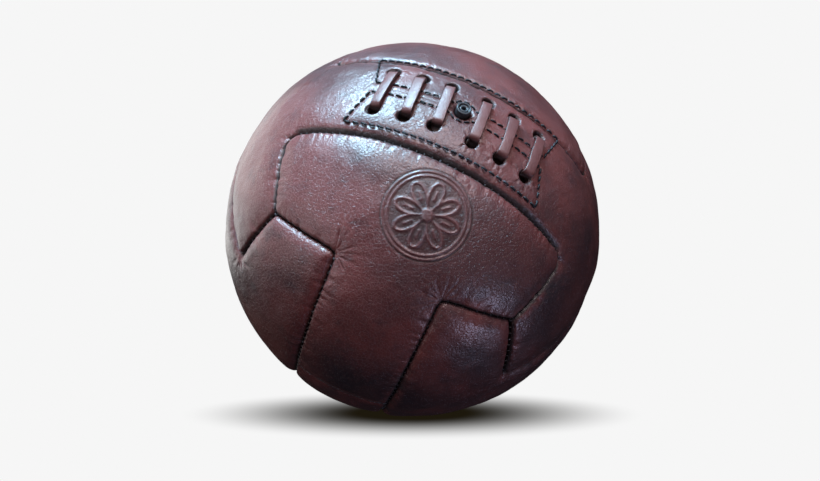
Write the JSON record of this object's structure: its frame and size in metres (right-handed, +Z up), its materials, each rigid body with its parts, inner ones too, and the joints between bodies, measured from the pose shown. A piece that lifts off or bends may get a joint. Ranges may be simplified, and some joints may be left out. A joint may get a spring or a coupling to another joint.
{
  "type": "laced leather ball",
  "caption": "Inflatable leather ball of sewn T-shaped panels over a rubber bladder, with a laced opening, thong lace and black rubber needle valve.",
  "frame": {"origin": "centre of the ball", "axes": "+Z up as the ball lies, -Z towards the surface it rests on; -Y towards the viewer of the laced side, +X to that viewer's right"},
  "size_m": [0.22, 0.22, 0.22],
  "materials": {
    "leather": "antiqued reddish-brown cowhide, mottled dark, waxed satin with soft highlights, fine pebble grain",
    "inner_leather": "plain vegetable-tanned leather, matt flesh side",
    "lace_thong": "rawhide thong, darkened top, pale cut edges",
    "canvas": "unbleached cotton canvas, matt",
    "rubber": "matt black moulded rubber",
    "valve_insert": "semi-gloss black rubber",
    "black_thread": "waxed black linen thread, slight sheen",
    "seam_thread": "waxed brown linen thread, matt"
  },
  "bodies": {
    "root": {"bladder": "rubber", "edge_thread_chin_left": "seam_thread", "edge_thread_chin_right": "seam_thread", "edge_thread_crown_left": "seam_thread", "edge_thread_crown_right": "seam_thread", "edge_thread_heel_chin": "seam_thread", "edge_thread_heel_crown": "seam_thread", "edge_thread_lace_chin": "seam_thread", "edge_thread_lace_crown": "seam_thread", "edge_thread_left_heel": "seam_thread", "edge_thread_left_lace": "seam_thread", "edge_thread_right_heel": "seam_thread", "edge_thread_right_lace": "seam_thread", "lace": "lace_thong", "lace_lining": "canvas", "lace_panel": "leather", "lining_chin_left": "canvas", "lining_chin_right": "canvas", "lining_crown_left": "canvas", "lining_crown_right": "canvas", "lining_heel_chin": "canvas", "lining_heel_crown": "canvas", "lining_lace_chin": "canvas", "lining_lace_crown": "canvas", "lining_left_heel": "canvas", "lining_right_heel": "canvas", "lower_facing": "inner_leather", "lower_stitching": "black_thread", "panel_chin_left": "leather", "panel_chin_right": "leather", "panel_crown_left": "leather", "panel_crown_right": "leather", "panel_heel_chin": "leather", "panel_heel_crown": "leather", "panel_lace_chin": "leather", "panel_lace_crown": "leather", "panel_left_heel": "leather", "panel_right_heel": "leather", "strip_thread_chin": "seam_thread", "strip_thread_crown": "seam_thread", "strip_thread_heel": "seam_thread", "strip_thread_lace": "seam_thread", "strip_thread_left": "seam_thread", "strip_thread_right": "seam_thread", "tongue": "inner_leather", "upper_facing": "inner_leather", "upper_stitching": "black_thread", "valve_core": "valve_insert", "valve_housing": "rubber"}
  },
  "joints": []
}
